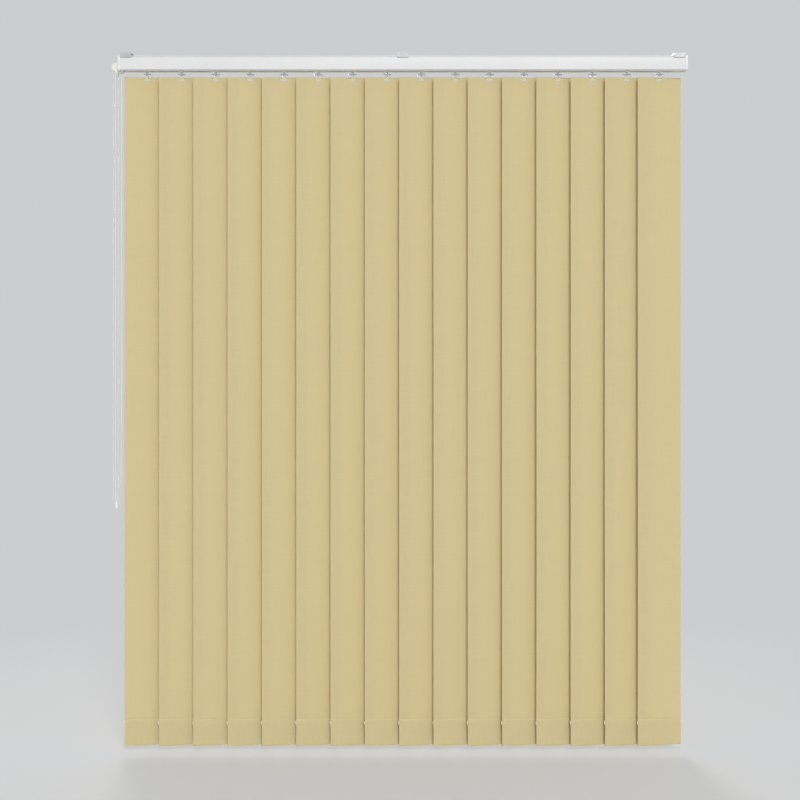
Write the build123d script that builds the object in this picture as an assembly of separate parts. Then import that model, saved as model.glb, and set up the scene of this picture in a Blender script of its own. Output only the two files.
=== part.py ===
from build123d import *
import os
from math import radians, tan

# Vertical blind: sixteen cloth louvres that hang from carriers in an aluminium headrail.
# Millimetres. +X runs along the rail to the right, -Y faces the room, +Z is up.
# The origin is the middle of the plane that the three brackets are screwed to.

# Louvres
LOUVRE_COUNT = 16
LOUVRE_WIDTH = 89.0
LOUVRE_LENGTH = 1326.0
LOUVRE_PITCH = 68.0
LEAD_GAP = 65.0
REST_ANGLE = 10.0
CLOTH = 0.6
POCKET_HEIGHT = 52.5
POCKET_THICKNESS = 2.9
POCKET_CLOTH = 0.45
POCKET_FLARE = 3.0
HOOK_SLOT_WIDTH = 10.0
HOOK_SLOT_HEIGHT = 4.5
HOOK_SLOT_DEPTH = 2.2

# Weight sewn into each pocket
WEIGHT_CLEARANCE = 0.1
WEIGHT_INSET = 1.0
WEIGHT_LUG_REACH = 1.5
WEIGHT_LUG_HEIGHT = 6.0

# Headrail
RAIL_DEPTH = 36.0
RAIL_HEIGHT = 28.0
RAIL_WALL = 1.3
RAIL_CROWN = 0.5
RAIL_CORNER = 2.5
RAIL_SLOT = 11.0
SLOT_LIP_HEIGHT = 1.0
SLOT_LIP_WALL = 1.0
FIRST_INSET = 51.0
LAST_INSET = 49.0
RAIL_DROP = 6.0
HANG_DROP = 12.0
HOOK_GROOVE_DEPTH = 0.8
HOOK_GROOVE_HEIGHT = 1.8
HOOK_GROOVE_DROP = 1.4

# Top brackets
BRACKET_COUNT = 3
BRACKET_WIDTH = 22.0
BRACKET_INSET = 11.5
BRACKET_PLATE = 1.6
BRACKET_LEG = 1.2
BRACKET_RIB = 1.8
BRACKET_RIB_OFFSET = 9.0
BRACKET_TAB = 5.0
SCREW_HOLE = 4.5
SCREW_SINK = 8.0

# Tilt rod
ROD_DIAMETER = 6.0
ROD_DROP = 20.0
ROD_FLUTES = 5
ROD_FLUTE_RADIUS = 0.9

# Carriers
CARRIER_LENGTH = 17.0
CARRIER_WIDTH = 20.0
CARRIER_TOP_GAP = 2.0
CARRIER_HEAD_WIDTH = 13.0
CARRIER_SHOULDER = 3.5
CARRIER_FLOOR_GAP = 1.7
WHEEL_RADIUS = 3.2
WHEEL_WIDTH = 3.0
WHEEL_SIDES = 12
WHEEL_AXLE = 1.2
PASSAGE_SIDES = 6
BOSS_WIDTH = 7.4
BOSS_DROP = 1.4
STRIP_WIDTH = 8.0
STRIP_THICKNESS = 0.3
STRIP_OVERHANG = 10.0
STRIP_SLOPE = 1.2
STRIP_SLOT_HEIGHT = 2.6
STRIP_SLOT_DROP = 1.5

# Hangers
STEM_DIAMETER = 4.6
STEM_SEAT_GAP = 1.2
HEAD_WIDTH = 15.5
HEAD_HEIGHT = 2.6
HEAD_THICKNESS = 3.4
HEAD_RISE = 4.4
ARM_WIDTH = 1.9
ARM_THICKNESS = 1.5
ARM_DROP = 1.6
HOOK_WIDTH = 5.0
HOOK_THICKNESS = 1.3
HOOK_BAR = 1.9
HOOK_TIP = 1.4
HOOK_CLEARANCE = 0.15
TIP_CLEARANCE = 0.4

# End caps
CAP_FLANGE = 4.5
CAP_PROUD = 0.5
CAP_PLUG = 14.0
FAR_PLUG = 22.0
CAP_FLOOR = 0.8
NOZZLE_DROP = 4.0
NOZZLE_WIDTH = 9.0
NOZZLE_LENGTH = 9.0
HORN_WIDTH = 4.0
HORN_REACH = 9.0
HORN_HEIGHT = 3.7
HORN_SIDE = 4.0

# Chain wheel and its cover
BALL_DIAMETER = 3.2
BALL_PITCH = 4.06
WHEEL_POCKETS = 8
POCKET_DEPTH = 0.25
CHAIN_WHEEL_OFFSET = 7.4
CHAIN_WHEEL_SIDE = 2.0
CHAIN_WHEEL_FLANGE = 0.9
CHAIN_WHEEL_RIM = 0.9
CHAIN_WHEEL_PIN = 3.0
CHAIN_GAP = 0.35
COVER_WALL = 1.2
COVER_GAP = 0.3

# Cords
CORD_DIAMETER = 2.0
CORD_SIDE = 8.2
CORD_DROP = 11.0
CORD_GAP = 0.8
PULLEY_INSET = 10.5
PULLEY_THICKNESS = 3.6
PULLEY_RIM = 1.2
PULLEY_PIN = 3.0
WEIGHT_TOP_RADIUS = 2.6
WEIGHT_RADIUS = 3.2
WEIGHT_HEIGHT = 12.5
WEIGHT_BEVEL = 1.4

# Clearances
RUNNING = 0.08
SLIDE = 0.1
SNAP = 0.2
FREE = 0.4

# Worked-out places
PI = 3.141592653589793
rail_length = FIRST_INSET + (LOUVRE_COUNT - 2) * LOUVRE_PITCH + LEAD_GAP + LAST_INSET
rail_left = -rail_length / 2
rail_right = rail_length / 2
rail_top = -RAIL_DROP
rail_bottom = rail_top - RAIL_HEIGHT
floor_top = rail_bottom + RAIL_WALL
louvre_top = rail_bottom - HANG_DROP
louvre_bottom = louvre_top - LOUVRE_LENGTH
pocket_top = louvre_bottom + POCKET_HEIGHT
rod_z = rail_top - ROD_DROP
cord_z = rail_top - CORD_DROP
stem_top = rod_z - ROD_DIAMETER / 2 - STEM_SEAT_GAP
cap_left = rail_left - CAP_FLANGE
cap_right = rail_right + CAP_FLANGE
wheel_x = cap_left - CHAIN_WHEEL_OFFSET
pitch_radius = WHEEL_POCKETS * BALL_PITCH / (2 * PI)


def louvre_places():
    places = [rail_left + FIRST_INSET + LOUVRE_PITCH * i for i in range(LOUVRE_COUNT - 1)]
    return places + [places[-1] + LEAD_GAP]


def block(x0, x1, y0, y1, z0, z1):
    centre = ((x0 + x1) / 2, (y0 + y1) / 2, (z0 + z1) / 2)
    return Pos(*centre) * Box(x1 - x0, y1 - y0, z1 - z0)


def rod_along(axis, centre, radius, length):
    turn = {"X": Rot(0, 90, 0), "Y": Rot(90, 0, 0), "Z": Rot(0, 0, 0)}[axis]
    return Pos(*centre) * turn * Cylinder(radius, length)


def along_x(face, x0, x1):
    return Pos(x0, 0, 0) * extrude(face, amount=x1 - x0, dir=(1, 0, 0))


# Headrail

def rail_outline(grow):
    half = RAIL_DEPTH / 2 + grow
    top = rail_top + grow
    bottom = rail_bottom - grow
    middle = (top + bottom) / 2
    shoulder = half - RAIL_CROWN
    front = ThreePointArc((0, -shoulder, bottom), (0, -half, middle), (0, -shoulder, top))
    back = ThreePointArc((0, shoulder, top), (0, half, middle), (0, shoulder, bottom))
    roof = Line((0, -shoulder, top), (0, shoulder, top))
    floor = Line((0, shoulder, bottom), (0, -shoulder, bottom))
    face = make_face([front, roof, back, floor])
    low = face.vertices().sort_by(Axis.Z)[:2]
    return fillet(low, RAIL_CORNER)


def make_headrail():
    shell = along_x(rail_outline(0), rail_left, rail_right)
    hollow = along_x(rail_outline(-RAIL_WALL), rail_left, rail_right)
    slot = block(rail_left, rail_right, -RAIL_SLOT / 2, RAIL_SLOT / 2, rail_bottom, floor_top)
    rail = shell - hollow - slot
    for side in (-1, 1):
        inner = side * RAIL_SLOT / 2
        outer = side * (RAIL_SLOT / 2 + SLOT_LIP_WALL)
        rail += block(rail_left, rail_right, min(inner, outer), max(inner, outer),
                      rail_bottom, floor_top + SLOT_LIP_HEIGHT)
        deep = side * (RAIL_DEPTH / 2 - RAIL_CROWN - HOOK_GROOVE_DEPTH)
        wide = side * (RAIL_DEPTH / 2 + 1)
        groove_top = rail_top - HOOK_GROOVE_DROP
        rail -= block(rail_left, rail_right, min(deep, wide), max(deep, wide),
                      groove_top - HOOK_GROOVE_HEIGHT, groove_top)
    return rail


# Top brackets

def bracket_places():
    reach = rail_length / 2 - BRACKET_INSET
    step = 2 * reach / (BRACKET_COUNT - 1)
    return [-reach + step * i for i in range(BRACKET_COUNT)]


def make_bracket():
    leg_in = RAIL_DEPTH / 2 + SLIDE
    leg_out = leg_in + BRACKET_LEG
    tip_in = RAIL_DEPTH / 2 - RAIL_CROWN - HOOK_GROOVE_DEPTH + SNAP
    groove_top = rail_top - HOOK_GROOVE_DROP
    tip_top = groove_top - SNAP
    tip_bottom = groove_top - HOOK_GROOVE_HEIGHT + SNAP
    half = BRACKET_WIDTH / 2
    body = block(-half, half, -leg_out, leg_out, -BRACKET_PLATE, 0)
    for side in (-1, 1):
        leg = block(-half, half, leg_in, leg_out, tip_bottom, 0)
        leg += block(-half, half, tip_in, leg_out, tip_bottom, tip_top)
        leg += block(-half, half, BRACKET_RIB_OFFSET - BRACKET_RIB / 2,
                     BRACKET_RIB_OFFSET + BRACKET_RIB / 2, rail_top, 0)
        body += leg if side > 0 else mirror(leg, about=Plane.XZ)
    body += block(-half / 2, half / 2, leg_out, leg_out + BRACKET_TAB, tip_bottom, tip_top)
    hole = Pos(0, 0, -BRACKET_PLATE / 2) * Cylinder(SCREW_HOLE / 2, BRACKET_PLATE)
    sink_depth = BRACKET_PLATE / 2
    sink = Pos(0, 0, -BRACKET_PLATE + sink_depth / 2) * Cone(SCREW_SINK / 2, SCREW_HOLE / 2,
                                                             sink_depth)
    return body - hole - sink


def make_brackets():
    one = make_bracket()
    return Compound([Pos(x, 0, 0) * one for x in bracket_places()])


# Tilt rod

def make_tilt_rod():
    round_bar = Circle(ROD_DIAMETER / 2)
    flute = Circle(ROD_FLUTE_RADIUS)
    section = round_bar - PolarLocations(ROD_DIAMETER / 2, ROD_FLUTES) * flute
    left = cap_left + CAP_FLOOR + FREE
    right = rail_right - FREE
    bar = extrude(Plane.YZ * section, amount=right - left)
    return Pos(left, 0, rod_z) * bar


# Carriers

def carrier_section():
    head = CARRIER_HEAD_WIDTH / 2
    half = CARRIER_WIDTH / 2
    top = rail_top - RAIL_WALL - CARRIER_TOP_GAP
    neck = cord_z - CORD_DIAMETER / 2 - CORD_GAP
    bottom = floor_top + CARRIER_FLOOR_GAP
    right = [(head, top), (head, neck), (half, neck - CARRIER_SHOULDER), (half, bottom)]
    left = [(-y, z) for y, z in reversed(right)]
    return Plane.YZ * make_face(Polyline(*right, *left, close=True))


def strip_floor():
    return rail_top - RAIL_WALL - CARRIER_TOP_GAP - STRIP_SLOT_DROP - STRIP_SLOT_HEIGHT


def make_strip(reach):
    start = -CARRIER_LENGTH / 2
    end = reach + STRIP_OVERHANG
    rise = (end - start) * tan(radians(STRIP_SLOPE))
    base = strip_floor() - STRIP_THICKNESS / 6
    side = Polyline((start, base), (end, base + rise), (end, base + rise + STRIP_THICKNESS),
                    (start, base + STRIP_THICKNESS), close=True)
    return extrude(Plane.XZ * make_face(side), amount=STRIP_WIDTH / 2, both=True)


def make_carrier(reach):
    half = CARRIER_LENGTH / 2
    body = along_x(carrier_section(), -half, half)
    slot_half = STRIP_WIDTH / 2 + FREE
    body -= block(-half, half, -slot_half, slot_half, strip_floor(),
                  strip_floor() + STRIP_SLOT_HEIGHT)
    passage = RegularPolygon(ROD_DIAMETER / 2 + FREE, PASSAGE_SIDES, major_radius=False)
    body -= Pos(0, 0, rod_z) * along_x(Plane.YZ * passage, -half, half)
    boss_bottom = rail_bottom - BOSS_DROP
    body_bottom = floor_top + CARRIER_FLOOR_GAP
    boss_half = BOSS_WIDTH / 2
    body += block(-boss_half, boss_half, -boss_half, boss_half, boss_bottom, body_bottom)
    bore_length = stem_top - boss_bottom
    body -= rod_along("Z", (0, 0, boss_bottom + bore_length / 2), STEM_DIAMETER / 2 + RUNNING,
                      bore_length)
    axle_z = floor_top + SLIDE + WHEEL_RADIUS
    tread = RegularPolygon(WHEEL_RADIUS, WHEEL_SIDES, major_radius=False)
    wheel = extrude(Plane.XZ * tread, amount=WHEEL_WIDTH / 2, both=True)
    for side in (-1, 1):
        wheel_y = side * (CARRIER_WIDTH / 2 + WHEEL_AXLE + WHEEL_WIDTH / 2)
        hub_y = side * (CARRIER_WIDTH / 2 + WHEEL_AXLE / 2)
        hub = WHEEL_RADIUS / 2
        body += Pos(0, wheel_y, axle_z) * wheel
        body += block(-hub, hub, hub_y - WHEEL_AXLE / 2, hub_y + WHEEL_AXLE / 2,
                      axle_z - hub, axle_z + hub)
    if reach:
        body += make_strip(reach)
    return body


# Hangers

def make_hanger():
    cloth_face = CLOTH / 2
    head_top = louvre_top + HEAD_RISE + HEAD_HEIGHT
    head_bottom = louvre_top + HEAD_RISE
    bar_top = louvre_top - HOOK_SLOT_DEPTH - SLIDE
    half = HEAD_WIDTH / 2
    stem_length = stem_top - STEM_SEAT_GAP / 2 - head_bottom
    body = rod_along("Z", (0, 0, head_bottom + stem_length / 2), STEM_DIAMETER / 2, stem_length)
    body += block(-half, half, -HEAD_THICKNESS / 2, HEAD_THICKNESS / 2, head_bottom, head_top)
    arm_back = -cloth_face - HOOK_CLEARANCE
    for side in (-1, 1):
        edge = side * half
        inner = side * (half - ARM_WIDTH)
        body += block(min(edge, inner), max(edge, inner), arm_back - ARM_THICKNESS, arm_back,
                      louvre_top - ARM_DROP, head_bottom)
    hook = HOOK_WIDTH / 2
    back = cloth_face + HOOK_CLEARANCE
    tip_back = -cloth_face - TIP_CLEARANCE
    tip_front = tip_back - HOOK_THICKNESS
    body += block(-hook, hook, back, back + HOOK_THICKNESS, bar_top - HOOK_BAR, head_bottom)
    body += block(-hook, hook, tip_front, back + HOOK_THICKNESS, bar_top - HOOK_BAR, bar_top)
    body += block(-hook, hook, tip_front, tip_back, bar_top - HOOK_BAR, bar_top + HOOK_TIP)
    return Rot(0, 0, REST_ANGLE) * body


# Louvres

def make_louvre_cloth():
    thin = CLOTH / 2
    thick = POCKET_THICKNESS / 2
    flare = pocket_top - POCKET_FLARE
    turn = louvre_bottom + thick
    edge = [Line((-thick, turn), (-thick, flare)), Line((-thick, flare), (-thin, pocket_top)),
            Line((-thin, pocket_top), (-thin, louvre_top)),
            Line((-thin, louvre_top), (thin, louvre_top)),
            Line((thin, louvre_top), (thin, pocket_top)), Line((thin, pocket_top), (thick, flare)),
            Line((thick, flare), (thick, turn)),
            ThreePointArc((thick, turn), (0, louvre_bottom), (-thick, turn))]
    section = Plane.YZ * make_face(edge)
    half = LOUVRE_WIDTH / 2
    cloth = along_x(section, -half, half)
    cavity = thick - POCKET_CLOTH
    cloth -= block(-half, half, -cavity, cavity, louvre_bottom + POCKET_CLOTH, flare)
    slot = HOOK_SLOT_WIDTH / 2
    slot_top = louvre_top - HOOK_SLOT_DEPTH
    cloth -= block(-slot, slot, -thin, thin, slot_top - HOOK_SLOT_HEIGHT, slot_top)
    return cloth


def make_pocket_weight():
    half = LOUVRE_WIDTH / 2
    plate = half - WEIGHT_INSET
    lug = half + WEIGHT_LUG_REACH
    thick = POCKET_THICKNESS / 2 - POCKET_CLOTH - WEIGHT_CLEARANCE
    top = pocket_top - POCKET_FLARE - WEIGHT_CLEARANCE
    bottom = louvre_bottom + POCKET_CLOTH + WEIGHT_CLEARANCE
    weight = block(-plate, plate, -thick, thick, bottom, top)
    weight += block(-lug, lug, -thick, thick, top - WEIGHT_LUG_HEIGHT, top)
    return weight


def make_louvre():
    turn = Rot(0, 0, REST_ANGLE)
    return Compound([turn * make_louvre_cloth(), turn * make_pocket_weight()])


# End caps

def make_control_cap():
    cap = along_x(rail_outline(CAP_PROUD), cap_left, rail_left)
    cap += along_x(rail_outline(-RAIL_WALL - SNAP), rail_left, rail_left + CAP_PLUG)
    lip = RAIL_SLOT / 2 + SLOT_LIP_WALL + SNAP
    lip_top = floor_top + SLOT_LIP_HEIGHT + SNAP
    for side in (-1, 1):
        tongue = side * (RAIL_SLOT / 2 - SNAP)
        cap -= block(rail_left, rail_left + CAP_PLUG, min(tongue, side * lip),
                     max(tongue, side * lip), rail_bottom, lip_top)
    nozzle_bottom = rail_bottom - NOZZLE_DROP
    nozzle = block(cap_left, cap_left + NOZZLE_LENGTH, -NOZZLE_WIDTH / 2, NOZZLE_WIDTH / 2,
                   nozzle_bottom, floor_top + 1)
    cap += chamfer(nozzle.edges().filter_by(Axis.Z), NOZZLE_WIDTH / 10)
    horn_end = cap_left - HORN_REACH + HORN_WIDTH / 2
    horn = block(horn_end, cap_left + 1, -HORN_SIDE - HORN_WIDTH / 2, -HORN_SIDE + HORN_WIDTH / 2,
                 nozzle_bottom, nozzle_bottom + HORN_HEIGHT)
    horn += rod_along("Z", (horn_end, -HORN_SIDE, nozzle_bottom + HORN_HEIGHT / 2),
                      HORN_WIDTH / 2, HORN_HEIGHT)
    cap += horn
    span = CAP_FLANGE - CAP_FLOOR + CAP_PLUG
    cap -= rod_along("X", (cap_left + CAP_FLOOR + span / 2, 0, rod_z),
                     ROD_DIAMETER / 2 + RUNNING, span)
    return cap


def make_far_cap():
    cap = along_x(rail_outline(CAP_PROUD), rail_right, cap_right)
    plug_left = rail_right - FAR_PLUG
    cap += along_x(rail_outline(-RAIL_WALL - SNAP), plug_left, rail_right)
    lip = RAIL_SLOT / 2 + SLOT_LIP_WALL + SNAP
    lip_top = floor_top + SLOT_LIP_HEIGHT + SNAP
    cap -= block(plug_left, rail_right, -lip, lip, rail_bottom, lip_top)
    chamber = PULLEY_THICKNESS / 2 + SNAP
    cap -= block(plug_left, rail_right, -RAIL_DEPTH / 2, RAIL_DEPTH / 2, cord_z - chamber,
                 cord_z + chamber)
    cap += rod_along("Z", (rail_right - PULLEY_INSET, 0, cord_z), PULLEY_PIN / 2, 2 * chamber)
    depth = rail_right - plug_left
    cap -= rod_along("X", (plug_left + depth / 2, 0, rod_z), ROD_DIAMETER / 2 + RUNNING, depth)
    return cap


# Chain wheel and its cover

def make_chain_wheel():
    groove = BALL_DIAMETER / 2 + CHAIN_GAP
    core = pitch_radius - BALL_DIAMETER / 2 - CHAIN_GAP
    rim = pitch_radius + CHAIN_WHEEL_RIM
    pocket_centre = core - POCKET_DEPTH + BALL_DIAMETER / 2
    disc = Circle(core) - PolarLocations(pocket_centre, WHEEL_POCKETS) * Circle(BALL_DIAMETER / 2)
    wheel = extrude(Plane.XZ * disc, amount=groove, both=True)
    for side in (-1, 1):
        middle = side * (groove + CHAIN_WHEEL_FLANGE / 2)
        wheel += rod_along("Y", (0, middle, 0), rim, CHAIN_WHEEL_FLANGE)
    bore = 2 * (groove + CHAIN_WHEEL_FLANGE)
    wheel -= rod_along("Y", (0, 0, 0), CHAIN_WHEEL_PIN / 2 + RUNNING, bore)
    return Pos(wheel_x, CHAIN_WHEEL_SIDE, rod_z) * wheel


def cover_body(grow):
    radius = pitch_radius + BALL_DIAMETER / 2 + COVER_GAP + grow
    half = BALL_DIAMETER / 2 + CHAIN_GAP + CHAIN_WHEEL_FLANGE + COVER_GAP + grow
    body = rod_along("Y", (wheel_x, CHAIN_WHEEL_SIDE, rod_z), radius, 2 * half)
    return body + block(wheel_x, cap_left, CHAIN_WHEEL_SIDE - half, CHAIN_WHEEL_SIDE + half,
                        rod_z - radius, rod_z + radius)


def make_wheel_cover():
    outer = cover_body(COVER_WALL)
    low = outer.bounding_box()
    rims = outer.edges().filter_by(GeomType.CIRCLE)
    outer = chamfer(rims, COVER_WALL / 2)
    slot = BALL_DIAMETER / 2 + FREE
    mouth = block(low.min.X, cap_left, CHAIN_WHEEL_SIDE - slot, CHAIN_WHEEL_SIDE + slot,
                  low.min.Z, rod_z)
    beyond = block(cap_left, cap_left + CHAIN_WHEEL_OFFSET, low.min.Y, low.max.Y, low.min.Z,
                   low.max.Z)
    cover = outer - cover_body(0) - mouth - beyond
    span = 2 * (BALL_DIAMETER / 2 + CHAIN_GAP + CHAIN_WHEEL_FLANGE + COVER_GAP + COVER_WALL / 2)
    return cover + rod_along("Y", (wheel_x, CHAIN_WHEEL_SIDE, rod_z), CHAIN_WHEEL_PIN / 2, span)


# Cord pulley

def make_cord_pulley():
    half = PULLEY_THICKNESS / 2
    groove = CORD_SIDE - CORD_DIAMETER / 2 - SLIDE
    rim = CORD_SIDE + PULLEY_RIM
    edge = half - PULLEY_RIM / 2
    outline = Polyline((PULLEY_PIN / 2 + RUNNING, -half), (rim, -half), (rim, -edge),
                       (groove, -edge + PULLEY_RIM / 4), (groove, edge - PULLEY_RIM / 4),
                       (rim, edge), (rim, half), (PULLEY_PIN / 2 + RUNNING, half), close=True)
    wheel = revolve(Plane.XZ * make_face(outline), axis=Axis.Z)
    return Pos(rail_right - PULLEY_INSET, 0, cord_z) * wheel


# Cords: straight runs joined by tangent arcs, through points chosen by hand

CHAIN_JOIN = -450.0
CHAIN_FOOT = -888.5
LEFT_CORD_ROUTE = [(-569.6, -4.4, -38.0), (-569.6, -4.4, -890.0)]
RIGHT_CORD_ROUTE = [(-558.3, -3.0, -38.0), (-558.3, -3.0, -822.0), (-560.4, -3.4, -852.0),
                    (-566.8, -4.4, -874.0), (-566.8, -4.4, -890.0)]
CORD_WEIGHT_PLACE = (-568.2, -4.4, -890.0)


def corner_radii(points):
    radii = []
    for i in range(1, len(points) - 1):
        here = Vector(*points[i])
        into = here - Vector(*points[i - 1])
        out = Vector(*points[i + 1]) - here
        turn = into.get_angle(out)
        radii.append(0.45 * min(into.length, out.length) / tan(radians(turn / 2)))
    return radii


def make_tube(path, diameter):
    start = path @ 0
    along = path % 0
    return sweep(Plane(start, z_dir=along) * Circle(diameter / 2), path=path)


def make_bend(start, centre, axis, arc, diameter):
    """A round tube's bend: its end face at start is turned about an axis through centre."""
    away = Vector(*start) - Vector(*centre)
    face = Plane(start, z_dir=axis.cross(away)) * Circle(diameter / 2)
    return revolve(face, axis=Axis(centre, axis), revolution_arc=arc)


def make_chain():
    left = wheel_x - pitch_radius
    right = wheel_x + pitch_radius
    side = CHAIN_WHEEL_SIDE
    print("chain bend radius", round(pitch_radius, 2))
    halves = []
    for end, turn in ((rod_z, Vector(0, 1, 0)), (CHAIN_FOOT, Vector(0, -1, 0))):
        half = make_bend((left, side, end), (wheel_x, side, end), turn, 180, BALL_DIAMETER)
        middle = (CHAIN_JOIN + end) / 2
        for x in (left, right):
            half += rod_along("Z", (x, side, middle), BALL_DIAMETER / 2, abs(CHAIN_JOIN - end))
        halves.append(half)
    return Compound(halves)


def make_hanging_cord():
    radii = corner_radii(RIGHT_CORD_ROUTE)
    print("right cord radii", [round(radius, 1) for radius in radii])
    left = make_tube(Line(*LEFT_CORD_ROUTE), CORD_DIAMETER)
    right = make_tube(FilletPolyline(*RIGHT_CORD_ROUTE, radius=radii), CORD_DIAMETER)
    return Compound([left, right])


def make_cord_weight():
    belly = WEIGHT_RADIUS - WEIGHT_HEIGHT
    outline = Polyline((0, 0), (WEIGHT_TOP_RADIUS, 0), (WEIGHT_RADIUS, belly),
                       (WEIGHT_RADIUS - WEIGHT_BEVEL, -WEIGHT_HEIGHT), (0, -WEIGHT_HEIGHT),
                       close=True)
    return Pos(*CORD_WEIGHT_PLACE) * revolve(Plane.XZ * make_face(outline), axis=Axis.Z)


def make_rail_cord():
    turn_x = rail_right - PULLEY_INSET
    start_x = rail_left + CAP_PLUG
    cord = make_bend((turn_x, -CORD_SIDE, cord_z), (turn_x, 0, cord_z), Vector(0, 0, 1), 180,
                     CORD_DIAMETER)
    for y in (-CORD_SIDE, CORD_SIDE):
        cord += rod_along("X", ((start_x + turn_x) / 2, y, cord_z), CORD_DIAMETER / 2,
                          turn_x - start_x)
    return cord


# Assembly: one file for each sub-part

def write(name, shape):
    export_step(shape, f"parts/{name}.step")


os.makedirs("parts", exist_ok=True)
places = louvre_places()
hanger = make_hanger()
louvre = make_louvre()
for number, x in enumerate(places, start=1):
    reach = places[number] - x if number < LOUVRE_COUNT else 0
    write(f"carrier_{number:02d}", Pos(x, 0, 0) * make_carrier(reach))
    write(f"hanger_{number:02d}", Pos(x, 0, 0) * hanger)
    write(f"louvre_{number:02d}", Pos(x, 0, 0) * louvre)
write("headrail", make_headrail())
write("top_brackets", make_brackets())
write("tilt_rod", make_tilt_rod())
write("control_end_cap", make_control_cap())
write("far_end_cap", make_far_cap())
write("chain_wheel", make_chain_wheel())
write("wheel_cover", make_wheel_cover())
write("cord_pulley", make_cord_pulley())
write("control_chain", make_chain())
write("hanging_cord", make_hanging_cord())
write("cord_weight", make_cord_weight())
write("rail_cord", make_rail_cord())
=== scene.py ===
from math import cos, pi, radians, sin, sqrt

import bmesh
import bpy
from mathutils import Matrix, Vector


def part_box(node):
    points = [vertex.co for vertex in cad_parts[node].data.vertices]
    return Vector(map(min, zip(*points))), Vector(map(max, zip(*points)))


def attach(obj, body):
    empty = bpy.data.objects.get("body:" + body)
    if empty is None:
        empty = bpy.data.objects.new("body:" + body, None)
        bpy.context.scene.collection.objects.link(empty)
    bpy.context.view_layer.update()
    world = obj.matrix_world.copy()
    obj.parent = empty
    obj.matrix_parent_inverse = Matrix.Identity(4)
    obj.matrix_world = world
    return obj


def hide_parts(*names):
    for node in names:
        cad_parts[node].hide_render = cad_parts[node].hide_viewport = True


# Vertical blind: the finish of every surface, and the cloth, cords and hangers as modelled meshes.
# Metres, in the row frame: +X runs along the rail to the right, -Y faces the room, +Z is up.

MM = 0.001

# Louvres
LOUVRE_COUNT = 16
REST_ANGLE = 10.0
CLOTH = 0.5 * MM
LONG_ROWS = 84
POCKET_HEIGHT = 52.5 * MM
POCKET_HALF = 1.2 * MM
POCKET_FLARE = 3.0 * MM
POCKET_BULGE = 0.22 * MM
POCKET_STEPS = 14
POCKET_TURN_STEPS = 8
POCKET_OPENING = (0.12, 0.3, 0.6, 1.0)
SEAM_LEAD = 1.2 * MM
SEAM_LAP = 1.02 * CLOTH
SLOT_EASE = (4.0 * MM, 9.0 * MM)
SEAM_EASE = 0.5 * MM
SEAM_EASE_HEIGHT = 24.0 * MM
SEAM_MARGIN = 1.5 * MM
HOOK_SLOT_HALF = 5.0 * MM
HOOK_SLOT_DEPTH = 2.2 * MM
HOOK_SLOT_HEIGHT = 4.5 * MM
HOOK_SLOT_CORNER = 1.2 * MM
EDGE_CURL = 0.35 * MM
EDGE_CURL_TURNS = 9.0
SWAY = 0.9 * MM
SWAY_PHASE = 1.7
SWAY_SPAN = 1.04
SWAY_TURNS = 2.3
TWIST_PHASE = 1.3
TWIST_TURNS = 3.1
LOUVRE_HALF = 44.5 * MM

# Hangers
STEM_RADIUS = 2.2 * MM
STEM_SIDES = 24
COLLAR_RADIUS = 1.25 * STEM_RADIUS
HEAD_SINK = 0.6 * MM
STEM_TOP = -30.8 * MM
HEAD_RISE = 4.4 * MM
HEAD_HEIGHT = 2.6 * MM
HEAD_WIDTH = 15.5 * MM
HEAD_DEPTH = 3.4 * MM
ARM_WIDTH = 1.9 * MM
ARM_DEPTH = 1.5 * MM
ARM_BACK = -0.45 * MM
ARM_DROP = 1.6 * MM
HOOK_WIDTH = 5.0 * MM
HOOK_NUB_WIDTH = 2.8 * MM
HOOK_NUB_REACH = 0.5 * MM
HOOK_DEPTH = 1.3 * MM
HOOK_BACK = 0.45 * MM
HOOK_BAR = 1.9 * MM

# Pocket weight
WEIGHT_INSET = 1.0 * MM
WEIGHT_LUG_REACH = 1.5 * MM
WEIGHT_LUG_HEIGHT = 6.0 * MM
WEIGHT_HALF = 0.9 * MM
WEIGHT_FLOOR_GAP = 0.4 * MM
WEIGHT_TOP_GAP = 0.8 * MM
LUG_TOP_GAP = 0.05 * MM
LUG_SHARE = 0.96

# Control chain and cords
BALL_DIAMETER = 3.2 * MM
BALL_PITCH = 4.06 * MM
BALL_SIDES = 12
BALL_ROWS = 8
THREAD_DIAMETER = 1.1 * MM
THREAD_SIDES = 6
CORD_DIAMETER = 2.0 * MM

# Colours, as the eye sees them, from 0 to 255
CLOTH_COLOUR = (223, 207, 160)
PAINT_COLOUR = (224, 224, 223)
PLASTIC_COLOUR = (232, 232, 228)
CLEAR_PLASTIC_COLOUR = (218, 219, 214)
STEEL_COLOUR = (188, 189, 190)
ALUMINIUM_COLOUR = (196, 198, 200)
CHAIN_COLOUR = (224, 224, 219)
CORD_COLOUR = (232, 231, 226)
BACKDROP_COLOUR = (204, 205, 206)

# Stage
FLOOR_GAP = 14.0 * MM
FLOOR_RADIUS = 2.4
FLOOR_SIDES = 96
FLOOR_FADE_START = 0.5
FLOOR_FADE = 1.6
FLOOR_GLOW = 0.35

# Lights: direction, strength and softness in degrees
WORLD_STRENGTH = 0.68
KEY_LIGHT = ((-0.22, 1.0, -0.6), 1.45, 14)
WINDOW_LIGHT = ((0.15, -1.0, -0.3), 1.7, 20)
WINDOW_COLOUR = (1.0, 0.99, 0.97)

# Camera, matched to the photograph
CAMERA_PLACE = (-0.0055, -3.0, -0.5457)
FOCAL_PIXELS = 1510.0
CENTRE_ROW = 329.0
FRAME_PIXELS = 800.0
SENSOR = 36.0


def linear(colour):
    channels = []
    for value in colour:
        share = value / 255
        channels.append(share / 12.92 if share < 0.04045 else ((share + 0.055) / 1.055) ** 2.4)
    return (*channels, 1.0)


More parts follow.
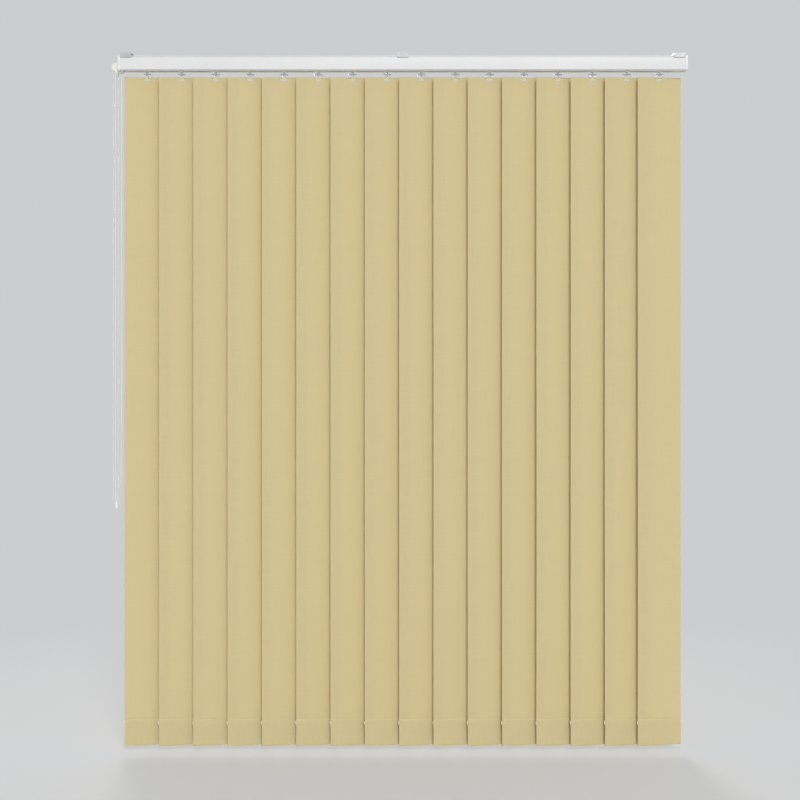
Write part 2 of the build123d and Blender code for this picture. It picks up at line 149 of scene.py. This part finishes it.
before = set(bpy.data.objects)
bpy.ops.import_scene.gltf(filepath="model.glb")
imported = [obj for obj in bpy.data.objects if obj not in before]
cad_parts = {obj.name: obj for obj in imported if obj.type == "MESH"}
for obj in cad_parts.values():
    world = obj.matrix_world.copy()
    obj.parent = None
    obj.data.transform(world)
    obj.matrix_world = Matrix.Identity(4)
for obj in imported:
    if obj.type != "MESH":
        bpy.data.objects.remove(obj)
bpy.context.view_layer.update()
scene = bpy.context.scene


# Camera

def make_camera():
    camera = bpy.data.cameras.new("photo_camera")
    camera.sensor_width = SENSOR
    camera.lens = FOCAL_PIXELS * SENSOR / FRAME_PIXELS
    camera.shift_y = (CENTRE_ROW - FRAME_PIXELS / 2) / FRAME_PIXELS
    camera.clip_start = 0.01
    camera.clip_end = 50
    camera_object = bpy.data.objects.new("photo_camera", camera)
    camera_object.location = CAMERA_PLACE
    camera_object.rotation_euler = (radians(90), 0, 0)
    scene.collection.objects.link(camera_object)
    scene.camera = camera_object


# Materials

class Nodes:
    """A material's node tree, with short calls for the few node types that are used."""

    def __init__(self, name):
        self.material = bpy.data.materials.new(name)
        self.material.use_nodes = True
        self.tree = self.material.node_tree
        self.tree.nodes.clear()
        self.output = self.add("ShaderNodeOutputMaterial")
        self.shader = self.add("ShaderNodeBsdfPrincipled")
        self.place = self.add("ShaderNodeTexCoord").outputs["Object"]
        self.tree.links.new(self.shader.outputs[0], self.output.inputs["Surface"])

    def add(self, kind, **settings):
        node = self.tree.nodes.new(kind)
        for name, value in settings.items():
            setattr(node, name, value)
        return node

    def put(self, value, socket):
        if isinstance(value, bpy.types.NodeSocket):
            self.tree.links.new(value, socket)
        else:
            socket.default_value = value

    def scaled(self, scale, turn=(0, 0, 0)):
        node = self.add("ShaderNodeMapping")
        self.put(self.place, node.inputs["Vector"])
        node.inputs["Rotation"].default_value = turn
        node.inputs["Scale"].default_value = scale
        return node.outputs[0]

    def noise(self, scale, size=(1, 1, 1), detail=2.0, roughness=0.5):
        node = self.add("ShaderNodeTexNoise")
        self.put(self.scaled(size), node.inputs["Vector"])
        node.inputs["Scale"].default_value = scale
        node.inputs["Detail"].default_value = detail
        node.inputs["Roughness"].default_value = roughness
        return node.outputs["Fac"]

    def wave(self, direction, pitch, distortion=0.0, turn=(0, 0, 0)):
        node = self.add("ShaderNodeTexWave", bands_direction=direction, wave_profile="SIN")
        self.put(self.scaled((1, 1, 1), turn), node.inputs["Vector"])
        node.inputs["Scale"].default_value = pi / 10 / pitch
        node.inputs["Distortion"].default_value = distortion
        node.inputs["Detail"].default_value = 1.0
        node.inputs["Detail Scale"].default_value = 1.5
        return node.outputs["Fac"]

    def sum(self, a, b, operation="ADD"):
        node = self.add("ShaderNodeMath", operation=operation)
        self.put(a, node.inputs[0])
        self.put(b, node.inputs[1])
        return node.outputs[0]

    def spread(self, value, low, high, start=0.0, end=1.0):
        node = self.add("ShaderNodeMapRange")
        self.put(value, node.inputs["Value"])
        self.put(start, node.inputs["From Min"])
        self.put(end, node.inputs["From Max"])
        self.put(low, node.inputs["To Min"])
        self.put(high, node.inputs["To Max"])
        return node.outputs[0]

    def blend(self, share, a, b):
        node = self.add("ShaderNodeMix", data_type="RGBA")
        self.put(share, node.inputs["Factor"])
        self.put(a, node.inputs["A"])
        self.put(b, node.inputs["B"])
        return node.outputs["Result"]

    def bump(self, height, depth, strength=1.0):
        node = self.add("ShaderNodeBump")
        self.put(height, node.inputs["Height"])
        node.inputs["Distance"].default_value = depth
        node.inputs["Strength"].default_value = strength
        self.put(node.outputs[0], self.shader.inputs["Normal"])
        return node.outputs[0]


def shade(colour, share):
    return tuple(min(1.0, channel * share) for channel in linear(colour)[:3]) + (1.0,)


def make_cloth_material():
    nodes = Nodes("louvre_cloth")
    warp = nodes.wave("X", 0.55 * MM, 0.6)
    weft = nodes.wave("Z", 0.62 * MM, 0.6)
    weave = nodes.sum(warp, weft)
    slub_across = nodes.noise(420, (0.06, 1, 1), 3.0, 0.6)
    slub_down = nodes.noise(420, (1, 1, 0.05), 3.0, 0.6)
    slubs = nodes.sum(slub_across, slub_down)
    tone = nodes.sum(nodes.spread(weave, 0.0, 0.35, 0.0, 2.0), slubs)
    share = nodes.spread(tone, 0.0, 1.0, 0.5, 1.8)
    colour = nodes.blend(share, shade(CLOTH_COLOUR, 0.96), shade(CLOTH_COLOUR, 1.05))
    nodes.put(colour, nodes.shader.inputs["Base Color"])
    nodes.put(nodes.spread(slubs, 0.78, 0.92, 0.6, 1.4), nodes.shader.inputs["Roughness"])
    nodes.shader.inputs["Specular IOR Level"].default_value = 0.25
    nodes.shader.inputs["Sheen Weight"].default_value = 0.12
    nodes.shader.inputs["Sheen Roughness"].default_value = 0.5
    normal = nodes.bump(nodes.sum(weave, nodes.sum(slubs, 0.5, "MULTIPLY")), 0.08 * MM, 0.6)
    through = nodes.add("ShaderNodeBsdfTranslucent")
    nodes.put(colour, through.inputs["Color"])
    nodes.put(normal, through.inputs["Normal"])
    mix = nodes.add("ShaderNodeMixShader")
    mix.inputs[0].default_value = 0.2
    nodes.put(nodes.shader.outputs[0], mix.inputs[1])
    nodes.put(through.outputs[0], mix.inputs[2])
    nodes.put(mix.outputs[0], nodes.output.inputs["Surface"])
    return nodes.material


def make_plastic_material(name, colour, grain, roughness, translucent=0.0):
    nodes = Nodes(name)
    fine = nodes.noise(grain, (1, 1, 1), 3.0)
    broad = nodes.noise(grain / 30, (1, 1, 1), 2.0)
    nodes.put(nodes.blend(nodes.spread(broad, 0.0, 1.0, 0.35, 0.65), shade(colour, 0.95),
                          shade(colour, 1.03)), nodes.shader.inputs["Base Color"])
    nodes.put(nodes.spread(fine, roughness - 0.05, roughness + 0.08, 0.3, 0.7),
              nodes.shader.inputs["Roughness"])
    nodes.shader.inputs["Subsurface Weight"].default_value = translucent
    nodes.shader.inputs["Subsurface Radius"].default_value = (1.0, 1.0, 0.9)
    nodes.shader.inputs["Subsurface Scale"].default_value = 1.2 * MM
    nodes.bump(fine, 0.04 * MM, 0.35)
    return nodes.material


def make_paint_material():
    nodes = Nodes("rail_paint")
    peel = nodes.noise(1100, (1, 1, 1), 2.0)
    specks = nodes.noise(5200, (1, 1, 1), 1.0)
    drift = nodes.noise(16, (0.25, 1, 1), 3.0)
    nodes.put(nodes.blend(nodes.spread(drift, 0.0, 1.0, 0.35, 0.65), shade(PAINT_COLOUR, 0.96),
                          shade(PAINT_COLOUR, 1.02)), nodes.shader.inputs["Base Color"])
    nodes.put(nodes.spread(peel, 0.34, 0.46, 0.3, 0.7), nodes.shader.inputs["Roughness"])
    nodes.shader.inputs["Coat Weight"].default_value = 0.15
    nodes.shader.inputs["Coat Roughness"].default_value = 0.3
    nodes.bump(nodes.sum(peel, nodes.sum(specks, 0.3, "MULTIPLY")), 0.03 * MM, 0.5)
    return nodes.material


def make_metal_material(name, colour, stretch, metallic, roughness):
    nodes = Nodes(name)
    streaks = nodes.noise(1800, stretch, 3.0)
    blooms = nodes.noise(130, (1, 1, 1), 3.0)
    nodes.put(nodes.blend(nodes.spread(blooms, 0.0, 1.0, 0.3, 0.7), shade(colour, 0.88),
                          shade(colour, 1.05)), nodes.shader.inputs["Base Color"])
    nodes.shader.inputs["Metallic"].default_value = metallic
    nodes.put(nodes.spread(streaks, roughness - 0.07, roughness + 0.1, 0.3, 0.7),
              nodes.shader.inputs["Roughness"])
    nodes.bump(streaks, 0.02 * MM, 0.4)
    return nodes.material


def make_braid_material():
    nodes = Nodes("cord_white")
    lean = radians(38)
    left = nodes.wave("Z", 1.1 * MM, 0.2, (0, lean, 0))
    right = nodes.wave("Z", 1.1 * MM, 0.2, (0, -lean, 0))
    braid = nodes.sum(left, right)
    fuzz = nodes.noise(3000, (1, 1, 1), 2.0)
    height = nodes.sum(braid, nodes.sum(fuzz, 0.4, "MULTIPLY"))
    # The colour follows the braid's height: the low grooves get painted shade, down to 0.8 of the
    # white, and the fuzz adds a little random tone.
    nodes.put(nodes.blend(nodes.spread(height, 0.0, 1.0, 0.2, 1.6), shade(CORD_COLOUR, 0.8),
                          shade(CORD_COLOUR, 1.03)), nodes.shader.inputs["Base Color"])
    nodes.shader.inputs["Roughness"].default_value = 0.72
    nodes.shader.inputs["Sheen Weight"].default_value = 0.1
    nodes.bump(height, 0.18 * MM, 0.7)
    return nodes.material


def seen_directly(nodes):
    """1 for rays from the camera, from mirrors and through glass."""
    paths = nodes.add("ShaderNodeLightPath")
    seen = nodes.sum(paths.outputs["Is Camera Ray"], paths.outputs["Is Glossy Ray"], "MAXIMUM")
    return nodes.sum(seen, paths.outputs["Is Transmission Ray"], "MAXIMUM")


def make_floor_material():
    """A pale floor that takes the object's shadow, and fades to the backdrop's colour."""
    nodes = Nodes("floor")
    nodes.shader.inputs["Base Color"].default_value = linear(BACKDROP_COLOUR)
    nodes.shader.inputs["Roughness"].default_value = 0.9
    far = nodes.add("ShaderNodeVectorMath", operation="LENGTH")
    nodes.put(nodes.place, far.inputs[0])
    fade = nodes.spread(far.outputs["Value"], FLOOR_GLOW, 1.0, FLOOR_FADE_START, FLOOR_FADE)
    glow = nodes.add("ShaderNodeEmission")
    glow.inputs["Color"].default_value = linear(BACKDROP_COLOUR)
    glow.inputs["Strength"].default_value = 1.0
    mix = nodes.add("ShaderNodeMixShader")
    nodes.put(nodes.sum(seen_directly(nodes), fade, "MULTIPLY"), mix.inputs[0])
    nodes.put(nodes.shader.outputs[0], mix.inputs[1])
    nodes.put(glow.outputs[0], mix.inputs[2])
    nodes.put(mix.outputs[0], nodes.output.inputs["Surface"])
    return nodes.material


# Meshes

def mesh_object(name, bm, material):
    mesh = bpy.data.meshes.new(name)
    bmesh.ops.recalc_face_normals(bm, faces=bm.faces[:])
    for face in bm.faces:
        face.smooth = True
    bm.to_mesh(mesh)
    bm.free()
    piece = bpy.data.objects.new(name, mesh)
    piece.data.materials.append(material)
    scene.collection.objects.link(piece)
    return piece


def apply_modifiers(piece):
    graph = bpy.context.evaluated_depsgraph_get()
    solid = bpy.data.meshes.new_from_object(piece.evaluated_get(graph))
    spare = piece.data
    piece.modifiers.clear()
    piece.data = solid
    bpy.data.meshes.remove(spare)


def sharp_by_angle(piece, degrees):
    """Edges steeper than this stay crisp under smooth shading."""
    bm = bmesh.new()
    bm.from_mesh(piece.data)
    for edge in bm.edges:
        if len(edge.link_faces) == 2:
            edge.smooth = edge.calc_face_angle(0) < radians(degrees)
    bm.to_mesh(piece.data)
    bm.free()


def add_block(bm, low, high, round_by=0.0, segments=2):
    """A block from its lowest to its highest corner, with rounded edges."""
    made = bmesh.ops.create_cube(bm, size=1.0)["verts"]
    size = [b - a for a, b in zip(low, high)]
    middle = [(a + b) / 2 for a, b in zip(low, high)]
    place = Matrix.Translation(middle) @ Matrix.Diagonal((*size, 1))
    bmesh.ops.transform(bm, matrix=place, verts=made)
    if round_by:
        edges = list({edge for vert in made for edge in vert.link_edges})
        bmesh.ops.bevel(bm, geom=edges, offset=round_by, segments=segments, profile=0.5,
                        affect="EDGES")


def add_lathe(bm, outline, steps):
    """A form turned about Z: outline is (radius, height) from one end to the other."""
    rings = []
    for radius, height in outline:
        ring = []
        for step in range(steps if radius > 0 else 1):
            angle = 2 * pi * step / steps
            ring.append(bm.verts.new((radius * cos(angle), radius * sin(angle), height)))
        rings.append(ring)
    for low, high in zip(rings, rings[1:]):
        for step in range(steps):
            after = (step + 1) % steps
            corners = [low[step % len(low)], low[after % len(low)],
                       high[after % len(high)], high[step % len(high)]]
            corners = [v for i, v in enumerate(corners) if v not in corners[:i]]
            bm.faces.new(corners)
    for ring in (rings[0], rings[-1]):
        if len(ring) > 1:
            bm.faces.new(ring)


# Cords

def make_curve(name, points, diameter=0.0):
    """An open NURBS curve with its control points in millimetres and its diameter in metres."""
    curve = bpy.data.curves.new(name, "CURVE")
    curve.dimensions = "3D"
    curve.resolution_u = 12
    curve.bevel_depth = diameter / 2
    curve.bevel_resolution = 3
    curve.use_fill_caps = True
    spline = curve.splines.new("NURBS")
    spline.points.add(len(points) - 1)
    for point, (x, y, z) in zip(spline.points, points):
        point.co = (x * MM, y * MM, z * MM, 1)
    spline.order_u = 3
    spline.use_endpoint_u = True
    piece = bpy.data.objects.new(name, curve)
    scene.collection.objects.link(piece)
    return piece


def curve_line(points):
    """The points along a route's own NURBS line."""
    guide = make_curve("guide", points)
    graph = bpy.context.evaluated_depsgraph_get()
    mesh = bpy.data.meshes.new_from_object(guide.evaluated_get(graph))
    line = [vertex.co.copy() for vertex in mesh.vertices]
    bpy.data.meshes.remove(mesh)
    bpy.data.objects.remove(guide)
    return line


def line_length(line):
    return sum((b - a).length for a, b in zip(line, line[1:]))


def spaced(line, gap):
    """Points at an even gap along a line, and the direction of the line at each."""
    total = line_length(line)
    count = round(total / gap)
    step = total / count
    places = []
    walked, wanted = 0.0, step / 2
    for a, b in zip(line, line[1:]):
        run = (b - a).length
        while run and wanted <= walked + run and len(places) < count:
            places.append((a.lerp(b, (wanted - walked) / run), (b - a).normalized()))
            wanted += step
        walked += run
    return places


# The chain is one loop. Its route starts at the top of the wheel, inside the cover, goes down the
# left strand, round the foot and up the right strand, and ends where it started.
CHAIN_ROUTE = [(-570.4, 2.0, -20.83), (-575.57, 2.0, -20.83), (-575.57, 2.0, -45.0),
               (-575.57, 2.0, -450.0), (-575.57, 2.0, -874.0), (-575.57, 2.0, -893.67),
               (-565.23, 2.0, -893.67), (-565.23, 2.0, -874.0), (-565.23, 2.0, -450.0),
               (-565.23, 2.0, -45.0), (-565.23, 2.0, -20.83), (-570.4, 2.0, -20.83)]
LEFT_CORD_ROUTE = [(-569.6, -4.4, -38.0), (-569.6, -4.4, -460.0), (-569.6, -4.4, -890.0)]
RIGHT_CORD_ROUTE = [(-558.3, -3.0, -38.0), (-558.3, -3.0, -430.0), (-558.3, -3.0, -822.0),
                    (-560.4, -3.4, -852.0), (-566.8, -4.4, -874.0), (-566.8, -4.4, -890.0)]
RAIL_CORD_ROUTE = [(-544.5, -8.2, -17.0), (0.0, -8.2, -17.0), (544.0, -8.2, -17.0),
                   (556.2, -8.2, -17.0), (556.2, 8.2, -17.0), (544.0, 8.2, -17.0),
                   (0.0, 8.2, -17.0), (-544.5, 8.2, -17.0)]


def make_cord(name, route, node_names):
    piece = make_curve(name, route, CORD_DIAMETER)
    piece.data.materials.append(cord_white)
    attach(piece, "headrail_frame")
    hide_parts(*node_names)
    line_length(curve_line(route))


def ball_points():
    """A small ball's points and faces, with its poles along Z."""
    points = [Vector((0, 0, BALL_DIAMETER / 2))]
    for row in range(1, BALL_ROWS):
        tilt = pi * row / BALL_ROWS
        for step in range(BALL_SIDES):
            angle = 2 * pi * step / BALL_SIDES
            points.append(Vector((sin(tilt) * cos(angle), sin(tilt) * sin(angle), cos(tilt)))
                          * BALL_DIAMETER / 2)
    points.append(Vector((0, 0, -BALL_DIAMETER / 2)))
    faces = []
    for step in range(BALL_SIDES):
        after = (step + 1) % BALL_SIDES
        faces.append((0, 1 + step, 1 + after))
        for row in range(BALL_ROWS - 2):
            low = 1 + row * BALL_SIDES
            faces.append((low + step, low + BALL_SIDES + step, low + BALL_SIDES + after,
                          low + after))
        last = 1 + (BALL_ROWS - 2) * BALL_SIDES
        faces.append((last + step, len(points) - 1, last + after))
    return points, faces


def thread_points(line):
    """The thin cord that the balls sit on: rings of points along the line."""
    points, faces = [], []
    across = Vector((0, 1, 0))
    for place, along in spaced(line, BALL_PITCH / 2):
        side = along.cross(across).normalized()
        for step in range(THREAD_SIDES):
            angle = 2 * pi * step / THREAD_SIDES
            reach = (side * cos(angle) + across * sin(angle)) * THREAD_DIAMETER / 2
            points.append(place + reach)
    rings = len(points) // THREAD_SIDES
    for ring in range(rings - 1):
        low = ring * THREAD_SIDES
        for step in range(THREAD_SIDES):
            after = (step + 1) % THREAD_SIDES
            faces.append((low + step, low + after, low + THREAD_SIDES + after,
                          low + THREAD_SIDES + step))
    faces.append(tuple(reversed(range(THREAD_SIDES))))
    faces.append(tuple(range(len(points) - THREAD_SIDES, len(points))))
    return points, faces


def make_control_chain():
    """Balls on a thin cord, as one mesh that follows the chain's route."""
    line = curve_line(CHAIN_ROUTE)
    points, faces = thread_points(line)
    ball, ball_faces = ball_points()
    for place, along in spaced(line, BALL_PITCH):
        turn = Vector((0, 0, 1)).rotation_difference(along)
        first = len(points)
        points += [place + turn @ point for point in ball]
        faces += [tuple(first + corner for corner in face) for face in ball_faces]
    mesh = bpy.data.meshes.new("beaded_chain")
    mesh.from_pydata(points, [], faces)
    mesh.shade_smooth()
    mesh.materials.append(chain_white)
    piece = bpy.data.objects.new("beaded_chain", mesh)
    scene.collection.objects.link(piece)
    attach(piece, "headrail_frame")
    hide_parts("control_chain")


# Louvres

def seam_ease(z, pocket_top):
    """The cloth leans back a little just above the pocket, where the weight pulls it."""
    share = max(0.0, 1 - (z - pocket_top) / SEAM_EASE_HEIGHT)
    return SEAM_EASE * share * share * (3 - 2 * share)


def pocket_reach(drop):
    """How far a pocket wall stands out, at a drop below the seam."""
    opened = min(1.0, drop / POCKET_FLARE)
    swell = POCKET_BULGE * sin(pi * min(1.0, drop / POCKET_HEIGHT))
    return POCKET_HALF * opened * (2 - opened) + swell


def louvre_rows(top, bottom):
    """The louvre's line from the hook end down, round the bottom fold and up to the seam."""
    pocket_top = bottom + POCKET_HEIGHT
    slot_top = top - HOOK_SLOT_DEPTH
    slot_bottom = slot_top - HOOK_SLOT_HEIGHT
    middle = (slot_top + slot_bottom) / 2
    reach = HOOK_SLOT_HEIGHT / 2
    rows = [(0.0, top), (0.0, top - HOOK_SLOT_DEPTH / 2)]
    slot_rows = [(0.0, middle + reach * share) for share in (1.0, 0.8, 0.45, -0.45, -0.8, -1.0)]
    first_slot = len(rows)
    rows += slot_rows
    last_slot = len(rows) - 1
    rows += [(0.0, slot_bottom - drop) for drop in SLOT_EASE]
    start = rows[-1][1]
    step = (start - pocket_top - SLOT_EASE[0]) / LONG_ROWS
    rows += [(0.0, start - step * (i + 1)) for i in range(LONG_ROWS)]
    rows = [(seam_ease(z, pocket_top), z) for out, z in rows]
    rows += [(seam_ease(z, pocket_top), z) for z in (pocket_top + SEAM_LEAD, pocket_top)]
    turn = bottom + POCKET_HALF + CLOTH / 2
    drops = [POCKET_FLARE * share for share in POCKET_OPENING]
    rest = pocket_top - turn - POCKET_FLARE
    drops += [POCKET_FLARE + rest * step / POCKET_STEPS for step in range(1, POCKET_STEPS + 1)]
    rows += [(-pocket_reach(drop), pocket_top - drop) for drop in drops]
    for step in range(1, POCKET_TURN_STEPS):
        angle = pi * step / POCKET_TURN_STEPS
        rows.append((-POCKET_HALF * cos(angle), turn - POCKET_HALF * sin(angle)))
    rows += [(pocket_reach(drop), pocket_top - drop) for drop in reversed(drops[2:])]
    seam = SEAM_EASE + SEAM_LAP
    rows += [(seam, pocket_top), (seam, pocket_top + SEAM_MARGIN)]
    return rows, first_slot, last_slot


def louvre_columns(half):
    """Places across the louvre, with lines at both ends of the hook slot."""
    side = [HOOK_SLOT_HALF + (half - HOOK_SLOT_HALF) * share for share in
            (0.0, 0.12, 0.3, 0.5, 0.7, 0.86, 0.95, 1.0)]
    return [-x for x in reversed(side)] + [0.0] + side


def sway(number, x, z, top, bottom):
    """How far the cloth stands out of its plane: a slow bow, and slightly curled edges."""
    down = (top - z) / (top - bottom)
    hang = sin(pi * min(1.0, down * SWAY_SPAN))
    phase = SWAY_PHASE * number
    bow = SWAY * hang * sin(phase + SWAY_TURNS * down)
    across = x / LOUVRE_HALF
    twist = SWAY / 2 * hang * across * cos(phase * TWIST_PHASE + TWIST_TURNS * down)
    curl = EDGE_CURL * hang * across ** 4 * cos(phase + EDGE_CURL_TURNS * down)
    return bow + twist + curl


def make_louvre(number, rows, first_slot, last_slot, columns, half, top, bottom, middle_x):
    bm = bmesh.new()
    slot_middle = top - HOOK_SLOT_DEPTH - HOOK_SLOT_HEIGHT / 2
    grid = []
    for index, (out, z) in enumerate(rows):
        line = []
        for x in columns:
            if first_slot <= index <= last_slot and abs(abs(x) - HOOK_SLOT_HALF) < 1e-7:
                over = abs(z - slot_middle) - (HOOK_SLOT_HEIGHT / 2 - HOOK_SLOT_CORNER)
                over = max(0.0, over)
                inset = HOOK_SLOT_CORNER - sqrt(max(0.0, HOOK_SLOT_CORNER ** 2 - over ** 2))
                x = (abs(x) - inset) * (1 if x > 0 else -1)
            line.append(bm.verts.new((x, out + sway(number, x, z, top, bottom), z)))
        grid.append(line)
    for index, (above, below) in enumerate(zip(grid, grid[1:])):
        for i in range(len(columns) - 1):
            in_slot = first_slot <= index < last_slot
            if in_slot and abs(columns[i] + columns[i + 1]) / 2 < HOOK_SLOT_HALF:
                continue
            bm.faces.new((above[i], above[i + 1], below[i + 1], below[i]))
    piece = mesh_object(f"cloth_{number:02d}", bm, louvre_cloth)
    thick = piece.modifiers.new("thickness", "SOLIDIFY")
    thick.thickness = CLOTH
    thick.offset = 0
    apply_modifiers(piece)
    sharp_by_angle(piece, 50)
    piece.location = (middle_x, 0, 0)
    piece.rotation_euler = (0, 0, radians(REST_ANGLE))
    return piece


def make_weight(number, half, bottom, middle_x):
    bm = bmesh.new()
    low = bottom + CLOTH + WEIGHT_FLOOR_GAP
    high = bottom + POCKET_HEIGHT - POCKET_FLARE - WEIGHT_TOP_GAP
    plate = half - WEIGHT_INSET
    lug = half + WEIGHT_LUG_REACH
    add_block(bm, (-plate, -WEIGHT_HALF, low), (plate, WEIGHT_HALF, high), 0.3 * MM)
    lug_depth = WEIGHT_HALF * LUG_SHARE
    add_block(bm, (-lug, -lug_depth, high - WEIGHT_LUG_HEIGHT),
              (lug, lug_depth, high - LUG_TOP_GAP), 0.4 * MM, 3)
    piece = mesh_object(f"pocket_weight_{number:02d}", bm, moulded_white)
    sharp_by_angle(piece, 40)
    piece.location = (middle_x, 0, 0)
    piece.rotation_euler = (0, 0, radians(REST_ANGLE))
    return piece


def make_hanger_mesh(top):
    """A hanger in its own frame: stem, crossbar, two arms in front and a hook through the slot."""
    bm = bmesh.new()
    head_low = top + HEAD_RISE
    head_high = head_low + HEAD_HEIGHT
    stem = [(0.0, head_low + 0.4 * MM), (STEM_RADIUS, head_low + 0.4 * MM),
            (STEM_RADIUS, head_high), (COLLAR_RADIUS, head_high + 0.1 * MM),
            (COLLAR_RADIUS, head_high + 0.8 * MM), (STEM_RADIUS, head_high + 1.0 * MM),
            (STEM_RADIUS, STEM_TOP - 0.5 * MM), (STEM_RADIUS * 0.8, STEM_TOP), (0.0, STEM_TOP)]
    add_lathe(bm, stem, STEM_SIDES)
    half = HEAD_WIDTH / 2
    add_block(bm, (-half, -HEAD_DEPTH / 2, head_low), (half, HEAD_DEPTH / 2, head_high),
              0.5 * MM, 3)
    for side in (-1, 1):
        edges = sorted((side * half, side * (half - ARM_WIDTH)))
        add_block(bm, (edges[0], ARM_BACK - ARM_DEPTH, top - ARM_DROP),
                  (edges[1], ARM_BACK, head_low + HEAD_SINK), 0.35 * MM, 3)
    hook = HOOK_WIDTH / 2
    nub = HOOK_NUB_WIDTH / 2
    bar_top = top - HOOK_SLOT_DEPTH - 0.1 * MM
    bar_low = bar_top - HOOK_BAR
    add_block(bm, (-hook, HOOK_BACK, bar_low), (hook, HOOK_BACK + HOOK_DEPTH,
              head_low + HEAD_SINK), 0.3 * MM, 2)
    add_block(bm, (-nub, -HOOK_NUB_REACH, bar_low), (nub, HOOK_BACK + 0.5 * MM, bar_top),
              0.3 * MM, 2)
    return mesh_object("hanger_shape", bm, clear_white)


def make_hangers():
    low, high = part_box("louvre_01")
    pattern = make_hanger_mesh(high.z)
    sharp_by_angle(pattern, 35)
    shape = pattern.data
    bpy.data.objects.remove(pattern)
    for number in range(1, LOUVRE_COUNT + 1):
        node = f"hanger_{number:02d}"
        low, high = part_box(node)
        piece = bpy.data.objects.new(f"hook_hanger_{number:02d}", shape.copy())
        scene.collection.objects.link(piece)
        piece.location = ((low.x + high.x) / 2, 0, 0)
        piece.rotation_euler = (0, 0, radians(REST_ANGLE))
        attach(piece, f"louvre_{number:02d}_body")
        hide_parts(node)
    bpy.data.meshes.remove(shape)


def make_louvres():
    low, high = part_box("louvre_01")
    top, bottom = high.z, low.z
    turn = radians(REST_ANGLE)
    lug_half = (high.x - low.x) / 2 / cos(turn) - WEIGHT_HALF * sin(turn) / cos(turn)
    half = lug_half - WEIGHT_LUG_REACH
    rows, first_slot, last_slot = louvre_rows(top, bottom)
    columns = louvre_columns(half)
    for number in range(1, LOUVRE_COUNT + 1):
        node = f"louvre_{number:02d}"
        low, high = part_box(node)
        middle_x = (low.x + high.x) / 2
        body = f"{node}_body"
        weight = make_weight(number, half, bottom, middle_x)
        cloth = make_louvre(number, rows, first_slot, last_slot, columns, half, top, bottom,
                            middle_x)
        for piece, slot in ((weight, "moulded_white"), (cloth, "louvre_cloth")):
            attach(piece, body)
            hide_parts(node)


# Stage and lights

def make_stage():
    """A round floor just below the louvres."""
    bm = bmesh.new()
    bmesh.ops.create_circle(bm, cap_ends=True, segments=FLOOR_SIDES, radius=FLOOR_RADIUS)
    piece = mesh_object("floor", bm, make_floor_material())
    low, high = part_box("louvre_01")
    piece.location = (0, 0, low.z - FLOOR_GAP)


def add_sun(name, toward, strength, spread, colour=(1, 1, 1)):
    """A soft, even light that shines along the direction toward."""
    lamp = bpy.data.lights.new(name, "SUN")
    lamp.energy = strength
    lamp.angle = radians(spread)
    lamp.color = colour
    lamp_object = bpy.data.objects.new(name, lamp)
    lamp_object.rotation_euler = Vector(toward).to_track_quat("-Z", "Y").to_euler()
    scene.collection.objects.link(lamp_object)


def make_lights():
    world = bpy.data.worlds.new("studio")
    world.use_nodes = True
    tree = world.node_tree
    tree.nodes.clear()
    output = tree.nodes.new("ShaderNodeOutputWorld")
    light = tree.nodes.new("ShaderNodeBackground")
    light.inputs["Color"].default_value = (0.98, 0.99, 1.0, 1)
    light.inputs["Strength"].default_value = WORLD_STRENGTH
    backdrop = tree.nodes.new("ShaderNodeBackground")
    backdrop.inputs["Color"].default_value = linear(BACKDROP_COLOUR)
    backdrop.inputs["Strength"].default_value = 1.0
    paths = tree.nodes.new("ShaderNodeLightPath")
    seen = tree.nodes.new("ShaderNodeMath")
    seen.operation = "MAXIMUM"
    mix = tree.nodes.new("ShaderNodeMixShader")
    tree.links.new(paths.outputs["Is Camera Ray"], seen.inputs[0])
    tree.links.new(paths.outputs["Is Transmission Ray"], seen.inputs[1])
    tree.links.new(seen.outputs[0], mix.inputs[0])
    tree.links.new(light.outputs[0], mix.inputs[1])
    tree.links.new(backdrop.outputs[0], mix.inputs[2])
    tree.links.new(mix.outputs[0], output.inputs["Surface"])
    scene.world = world
    add_sun("key", *KEY_LIGHT)
    add_sun("window", *WINDOW_LIGHT, WINDOW_COLOUR)


scene.view_settings.view_transform = "Standard"
make_camera()
louvre_cloth = make_cloth_material()
moulded_white = make_plastic_material("moulded_white", PLASTIC_COLOUR, 2600, 0.36, 0.1)
clear_white = make_plastic_material("clear_white", CLEAR_PLASTIC_COLOUR, 2600, 0.3, 0.3)
chain_white = make_plastic_material("chain_white", CHAIN_COLOUR, 3400, 0.3, 0.1)
cord_white = make_braid_material()
rail_paint = make_paint_material()
bracket_steel = make_metal_material("bracket_steel", STEEL_COLOUR, (1, 1, 0.1), 0.75, 0.4)
rod_aluminium = make_metal_material("rod_aluminium", ALUMINIUM_COLOUR, (0.04, 1, 1), 1.0, 0.33)

make_control_chain()
make_cord("draw_cord_left", LEFT_CORD_ROUTE, ["hanging_cord"])
make_cord("draw_cord_right", RIGHT_CORD_ROUTE, ["hanging_cord"])
make_cord("draw_cord_in_rail", RAIL_CORD_ROUTE, ["rail_cord"])
make_louvres()
make_hangers()

NODE_MATERIALS = {"headrail": rail_paint, "top_brackets": bracket_steel,
                  "tilt_rod": rod_aluminium, "control_end_cap": moulded_white,
                  "far_end_cap": moulded_white, "chain_wheel": moulded_white,
                  "wheel_cover": moulded_white, "cord_pulley": moulded_white,
                  "cord_weight": moulded_white}
for name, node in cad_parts.items():
    kind = "hanger" if name.startswith("hanger") else "carrier"
    material = NODE_MATERIALS.get(name, clear_white if kind == "hanger" else moulded_white)
    node.data.materials.clear()
    node.data.materials.append(material)

make_stage()
make_lights()
